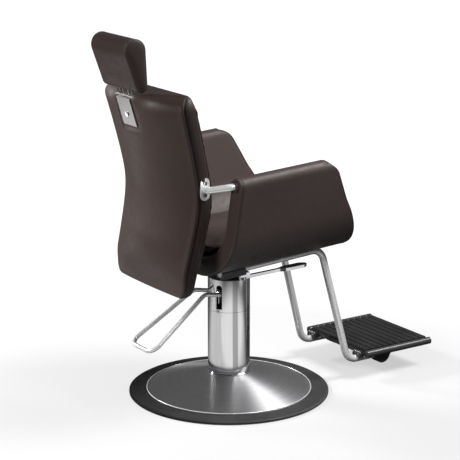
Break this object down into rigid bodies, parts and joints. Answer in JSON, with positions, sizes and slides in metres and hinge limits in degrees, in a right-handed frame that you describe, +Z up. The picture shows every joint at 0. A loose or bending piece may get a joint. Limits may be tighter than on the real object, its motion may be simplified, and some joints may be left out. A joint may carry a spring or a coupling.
{
  "type": "threading chair",
  "caption": "Upholstered tub chair on a hydraulic swivel column with a disc base, a tilting back, a sliding headrest and a flip-up footplate.",
  "frame": {"origin": "point on the floor under the centre of the column, on the axis the seat swivels about", "axes": "+Z up; -Y is the way the sitter faces, towards the footplate; +X is the left-hand side of the sitter"},
  "size_m": [0.5999, 1.061, 1.1071],
  "materials": {
    "leather": "satin",
    "chrome": "polished",
    "brushed": "satin",
    "black_steel": "satin",
    "black_aluminium": "satin",
    "black_plastic": "matte",
    "rubber": "matte"
  },
  "bodies": {
    "base": {"base_ring": "rubber", "base_plate": "brushed", "base_disc": "brushed", "foot_collar": "chrome", "column_tube": "chrome", "column_sleeve": "chrome", "column_cap": "black_plastic", "pump_body": "brushed", "pump_gland": "black_plastic", "pump_bolts": "black_steel", "pedal_axle": "brushed"},
    "ram": {"ram": "chrome"},
    "seat": {"swivel_hub": "black_steel", "seat_frame": "black_steel", "frame_bolts": "black_steel", "tub_shell": "leather", "seat_cushion": "leather", "arm_bush_left": "black_plastic", "arm_bush_right": "black_plastic", "arm_link_left": "chrome", "arm_link_right": "chrome", "footrest_tube_left": "chrome", "footrest_tube_right": "chrome", "tube_plugs": "black_plastic", "plate_saddle_left": "rubber", "plate_saddle_right": "rubber", "hinge_clamp_left": "black_steel", "hinge_clamp_right": "black_steel", "hinge_pins": "brushed", "lever_bracket": "chrome", "lever_pin": "chrome", "strut_cylinder": "black_steel", "strut_front_pin": "brushed"},
    "back": {"back_shell": "leather", "back_pad": "leather", "pivot_flange_left": "chrome", "pivot_flange_right": "chrome", "flange_screws": "chrome", "latch_plate": "brushed", "post_guides": "chrome", "strut_bracket": "black_steel", "strut_rear_pin": "brushed"},
    "headrest": {"headrest_posts": "chrome", "headrest_pad": "leather"},
    "button": {"latch_button": "chrome"},
    "lever": {"control_lever": "chrome"},
    "footplate": {"footplate": "black_aluminium", "footplate_mat": "rubber"},
    "strut": {"strut_rod": "chrome"},
    "pedal": {"pump_pedal": "chrome"},
    "plunger": {"pump_plunger": "chrome"}
  },
  "joints": [
    {"name": "seat_lift", "type": "slide", "parent": "base", "child": "ram", "axis": [0, 0, 1], "range_m": [0, 0.13]},
    {"name": "seat_swivel", "type": "hinge", "parent": "ram", "child": "seat", "pos_m": [0, 0, 0.38], "axis": [0, 0, 1], "continuous": true},
    {"name": "back_recline", "type": "hinge", "parent": "seat", "child": "back", "pos_m": [0, 0.213, 0.688], "axis": [-1, 0, 0], "range_deg": [0, 10]},
    {"name": "headrest_slide", "type": "slide", "parent": "back", "child": "headrest", "axis": [0, 0.2924, 0.9563], "range_m": [0, 0.06]},
    {"name": "latch_press", "type": "slide", "parent": "back", "child": "button", "axis": [0, -0.9563, 0.2924], "range_m": [0, 0.003], "stiffness_N_per_m": 400, "springref_m": -0.004},
    {"name": "lever_swing", "type": "hinge", "parent": "seat", "child": "lever", "pos_m": [-0.098, 0.018, 0.3795], "axis": [0, 0, -1], "range_deg": [0, 12]},
    {"name": "footplate_flip", "type": "hinge", "parent": "seat", "child": "footplate", "pos_m": [0, -0.402, 0.0775], "axis": [-1, 0, 0], "range_deg": [0, 90]},
    {"name": "strut_extend", "type": "slide", "parent": "seat", "child": "strut", "axis": [0, -0.9983, 0.0575], "range_m": [0, 0.053]},
    {"name": "pedal_press", "type": "hinge", "parent": "base", "child": "pedal", "pos_m": [0, -0.03, 0.298], "axis": [-1, 0, 0], "range_deg": [0, 20], "stiffness_Nm_per_rad": 12, "springref_deg": -22.92},
    {"name": "plunger_press", "type": "slide", "parent": "base", "child": "plunger", "axis": [0, 0, -1], "range_m": [0, 0.024]}
  ],
  "couplings": [
    {"joint": "strut_extend", "follows": "back_recline", "m_per_rad": 0.30225},
    {"joint": "plunger_press", "follows": "pedal_press", "m_per_rad": 0.0675}
  ]
}
